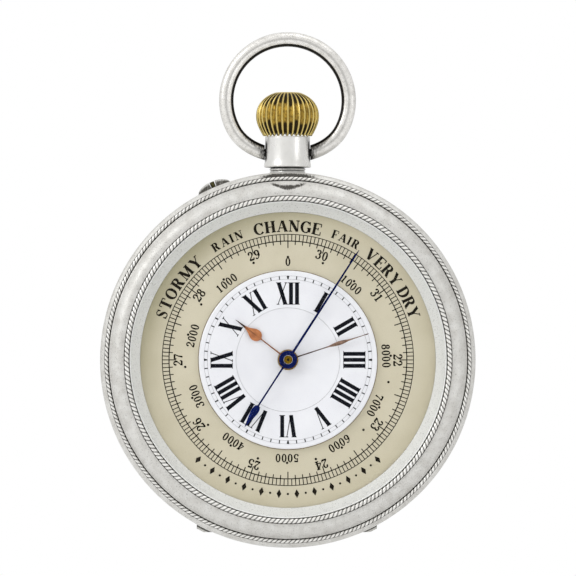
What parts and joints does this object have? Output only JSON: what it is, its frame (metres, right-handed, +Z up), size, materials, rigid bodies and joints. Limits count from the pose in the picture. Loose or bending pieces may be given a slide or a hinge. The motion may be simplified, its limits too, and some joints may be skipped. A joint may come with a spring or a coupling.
{
  "type": "pocket barometer",
  "caption": "Round silver pocket case with a bow and fluted crown: a small enamel watch dial inside a wide barometer dial, and an aneroid capsule behind them.",
  "frame": {"origin": "the inside of the bow at its top, where a hook or a chain's ring holds it", "axes": "hangs by the bow: +Z up to 12 o'clock, the dials face -Y, +X to 3 o'clock"},
  "size_m": [0.056, 0.0202, 0.077],
  "materials": {
    "silver": "polished silver with fine scratches",
    "gilt_crown": "worn gilding with dark grooves",
    "glass": "clear domed glass",
    "cream_dial": "aged cream silvering, printed scale",
    "enamel": "white enamel, printed numerals",
    "rose_gold": "polished rose gold",
    "blued_steel": "heat-blued steel",
    "steel": "polished steel",
    "gilt_brass": "gilt, fine-grained",
    "brass": "plain brass",
    "ruby": "polished red stone",
    "capsule": "pressed nickel-brass sheet"
  },
  "bodies": {
    "case": {"case_band": "silver", "pendant": "silver", "stem_sleeve": "steel", "pin_guard": "silver", "hinge_pin": "steel", "setting_pin_spring": "steel", "barometer_dial": "cream_dial", "watch_dial": "enamel", "movement_ring": "gilt_brass", "case_screws": "blued_steel", "main_plate": "gilt_brass", "centre_tube": "steel", "barrel_bridge": "gilt_brass", "train_bridge": "gilt_brass", "balance_cock": "gilt_brass", "movement_screws": "blued_steel", "jewels": "ruby", "barometer_plate": "brass", "vacuum_capsule": "capsule", "spring_bridge": "brass", "rocker_bracket": "brass", "pointer_chain": "brass", "pointer_cock": "brass", "adjusting_screw": "blued_steel", "barometer_screws": "blued_steel"},
    "bezel": {"bezel": "silver", "crystal": "glass"},
    "back": {"back_cover": "silver"},
    "dust": {"dust_cover": "silver"},
    "bow": {"bow": "silver"},
    "crown": {"crown": "gilt_crown", "winding_stem": "steel", "winding_pinion": "steel"},
    "setting_pin": {"setting_pin": "brass"},
    "crown_wheel": {"crown_wheel": "steel"},
    "ratchet": {"ratchet_wheel": "steel", "barrel_arbor": "steel"},
    "click": {"click": "steel"},
    "barrel": {"barrel": "brass", "mainspring": "steel"},
    "second_wheel": {"second_wheel": "brass"},
    "third_wheel": {"third_wheel": "brass"},
    "fourth_wheel": {"fourth_wheel": "brass"},
    "escape_wheel": {"escape_wheel": "steel"},
    "pallet_fork": {"pallet_fork": "steel"},
    "balance": {"balance_wheel": "gilt_brass", "balance_spring": "blued_steel"},
    "minute": {"cannon_pinion": "steel", "minute_hand": "rose_gold"},
    "minute_wheel": {"minute_wheel": "brass"},
    "hour": {"hour_wheel": "brass", "hour_hand": "rose_gold"},
    "pointer": {"pointer_arbor": "steel", "pointer_hairspring": "blued_steel", "barometer_pointer": "blued_steel"},
    "capsule_post": {"capsule_post": "steel"},
    "lever": {"leaf_spring": "steel", "main_lever": "brass"},
    "rocker": {"rocking_shaft": "steel"}
  },
  "joints": [
    {"name": "bow_swing", "type": "hinge", "parent": "case", "child": "bow", "pos_m": [0, 0, -0.01588], "axis": [1, 0, 0], "range_deg": [-90, 90]},
    {"name": "bezel_lift", "type": "slide", "parent": "case", "child": "bezel", "axis": [0, -1, 0], "range_m": [0, 0.012]},
    {"name": "back_hinge", "type": "hinge", "parent": "case", "child": "back", "pos_m": [0, 0.0075, -0.07178], "axis": [-1, 0, 0], "range_deg": [0, 95]},
    {"name": "dust_hinge", "type": "hinge", "parent": "case", "child": "dust", "pos_m": [0, 0.0075, -0.07178], "axis": [-1, 0, 0], "range_deg": [0, 67]},
    {"name": "crown_turn", "type": "hinge", "parent": "case", "child": "crown", "pos_m": [0, 0, -0.01188], "axis": [0, 0, 1], "continuous": true},
    {"name": "crown_wheel_turn", "type": "hinge", "parent": "case", "child": "crown_wheel", "pos_m": [0, 0.0013, -0.03868], "axis": [0, -1, 0], "continuous": true},
    {"name": "ratchet_turn", "type": "hinge", "parent": "case", "child": "ratchet", "pos_m": [0.0046, 0.0013, -0.04138], "axis": [0, -1, 0], "continuous": true},
    {"name": "setting_pin_press", "type": "slide", "parent": "case", "child": "setting_pin", "axis": [0.3907, 0, -0.9205], "range_m": [0, 0.0006], "stiffness_N_per_m": 100},
    {"name": "click_rock", "type": "hinge", "parent": "case", "child": "click", "pos_m": [0.0094, 0.0013, -0.03887], "axis": [0, -1, 0], "range_deg": [0, 10], "stiffness_Nm_per_rad": 0.00001},
    {"name": "escape_turn", "type": "hinge", "parent": "case", "child": "escape_wheel", "pos_m": [-0.00255, -0.0018, -0.05491], "axis": [0, -1, 0], "continuous": true},
    {"name": "fourth_turn", "type": "hinge", "parent": "case", "child": "fourth_wheel", "pos_m": [0.00107, -0.0018, -0.05359], "axis": [0, -1, 0], "continuous": true},
    {"name": "third_turn", "type": "hinge", "parent": "case", "child": "third_wheel", "pos_m": [0.0042, -0.0018, -0.05097], "axis": [0, -1, 0], "continuous": true},
    {"name": "second_turn", "type": "hinge", "parent": "case", "child": "second_wheel", "pos_m": [0.0059, -0.0018, -0.04661], "axis": [0, -1, 0], "continuous": true},
    {"name": "barrel_turn", "type": "hinge", "parent": "case", "child": "barrel", "pos_m": [0.0046, -0.0018, -0.04138], "axis": [0, -1, 0], "continuous": true},
    {"name": "pallet_rock", "type": "hinge", "parent": "case", "child": "pallet_fork", "pos_m": [-0.0039, -0.0018, -0.05251], "axis": [0, -1, 0], "range_deg": [-5, 5]},
    {"name": "balance_swing", "type": "hinge", "parent": "case", "child": "balance", "pos_m": [-0.0068, -0.0018, -0.04738], "axis": [0, -1, 0], "range_deg": [-270, 270], "stiffness_Nm_per_rad": 0.0000003},
    {"name": "minute_hand_turn", "type": "hinge", "parent": "case", "child": "minute", "pos_m": [0, -0.0052, -0.04688], "axis": [0, 1, 0], "continuous": true},
    {"name": "minute_wheel_turn", "type": "hinge", "parent": "case", "child": "minute_wheel", "pos_m": [-0.00489, -0.0031, -0.04865], "axis": [0, 1, 0], "continuous": true},
    {"name": "hour_hand_turn", "type": "hinge", "parent": "case", "child": "hour", "pos_m": [0, -0.0049, -0.04688], "axis": [0, 1, 0], "continuous": true},
    {"name": "pointer_turn", "type": "hinge", "parent": "case", "child": "pointer", "pos_m": [0, -0.0056, -0.04688], "axis": [0, 1, 0], "range_deg": [-302.9, 21.1]},
    {"name": "rocker_tilt", "type": "hinge", "parent": "case", "child": "rocker", "pos_m": [0, 0.00432, -0.06438], "axis": [-1, 0, 0], "range_deg": [-34.7, 2.5]},
    {"name": "lever_tilt", "type": "hinge", "parent": "case", "child": "lever", "pos_m": [0, 0.0034, -0.03347], "axis": [1, 0, 0], "range_deg": [-1.5, 0.11]},
    {"name": "post_slide", "type": "slide", "parent": "case", "child": "capsule_post", "axis": [0, 1, 0], "range_m": [-0.00035, 0.000026]}
  ],
  "couplings": [
    {"joint": "dust_hinge", "follows": "back_hinge", "ratio": 0.7},
    {"joint": "crown_wheel_turn", "follows": "crown_turn", "ratio": 0.5},
    {"joint": "ratchet_turn", "follows": "crown_turn", "ratio": -0.33333},
    {"joint": "fourth_turn", "follows": "escape_turn", "ratio": -0.1},
    {"joint": "third_turn", "follows": "escape_turn", "ratio": 0.013333},
    {"joint": "second_turn", "follows": "escape_turn", "ratio": -0.0016667},
    {"joint": "barrel_turn", "follows": "escape_turn", "ratio": 0.00020833},
    {"joint": "minute_wheel_turn", "follows": "minute_hand_turn", "ratio": -0.33333},
    {"joint": "hour_hand_turn", "follows": "minute_hand_turn", "ratio": 0.083333},
    {"joint": "rocker_tilt", "follows": "pointer_turn", "ratio": 0.1142},
    {"joint": "lever_tilt", "follows": "pointer_turn", "ratio": 0.00492},
    {"joint": "post_slide", "follows": "pointer_turn", "m_per_rad": 0.00006592}
  ]
}
